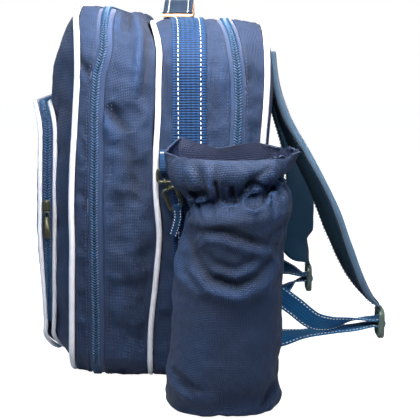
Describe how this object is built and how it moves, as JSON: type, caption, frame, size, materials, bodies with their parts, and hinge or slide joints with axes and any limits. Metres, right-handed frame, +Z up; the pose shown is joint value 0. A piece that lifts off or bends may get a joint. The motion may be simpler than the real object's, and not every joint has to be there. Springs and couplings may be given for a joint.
{
  "type": "picnic backpack",
  "caption": "Navy oxford picnic backpack with white piping, zipped compartments, a front pocket and a bottle tote clipped to its side",
  "frame": {"origin": "The middle of the pack's base, on the floor", "axes": "+X is the side that carries the bottle tote, -Y the outer front, +Y the wearer's back, +Z up"},
  "size_m": [0.3922, 0.3626, 0.3712],
  "materials": {
    "navy_cloth": "matt woven oxford",
    "white_piping": "smooth satin",
    "zip_blue": "woven tape with a coil chain",
    "blue_webbing": "ribbed webbing",
    "strap_cloth": "matt padded",
    "tan_leather": "satin",
    "dark_brass": "aged",
    "grey_plastic": "moulded"
  },
  "bodies": {
    "root": {"front_panel": "navy_cloth", "front_gusset": "navy_cloth", "middle_gusset": "navy_cloth", "rear_gusset": "navy_cloth", "back_gusset": "navy_cloth", "back_panel": "navy_cloth", "base_panel": "navy_cloth", "pocket_face": "navy_cloth", "bottle_tote": "navy_cloth", "front_piping": "white_piping", "middle_piping": "white_piping", "rear_piping": "white_piping", "pocket_front_piping": "white_piping", "pocket_rear_piping": "white_piping", "front_zip": "zip_blue", "rear_zip": "zip_blue", "pocket_zip": "zip_blue", "side_webbing_near": "blue_webbing", "side_webbing_far": "blue_webbing", "handle_webbing": "blue_webbing", "lower_webbing_near": "blue_webbing", "lower_webbing_far": "blue_webbing", "pack_tab": "blue_webbing", "tote_tab": "blue_webbing", "back_tab": "blue_webbing", "shoulder_strap_near": "strap_cloth", "shoulder_strap_far": "strap_cloth", "handle_leather": "tan_leather", "clip_ring": "dark_brass", "snap_hook": "dark_brass", "front_zip_slider": "dark_brass", "front_zip_pull": "dark_brass", "rear_zip_slider": "dark_brass", "rear_zip_pull": "dark_brass", "pocket_zip_slider": "dark_brass", "pocket_zip_pull": "dark_brass", "ladder_lock_near": "grey_plastic", "ladder_lock_far": "grey_plastic"}
  },
  "joints": []
}
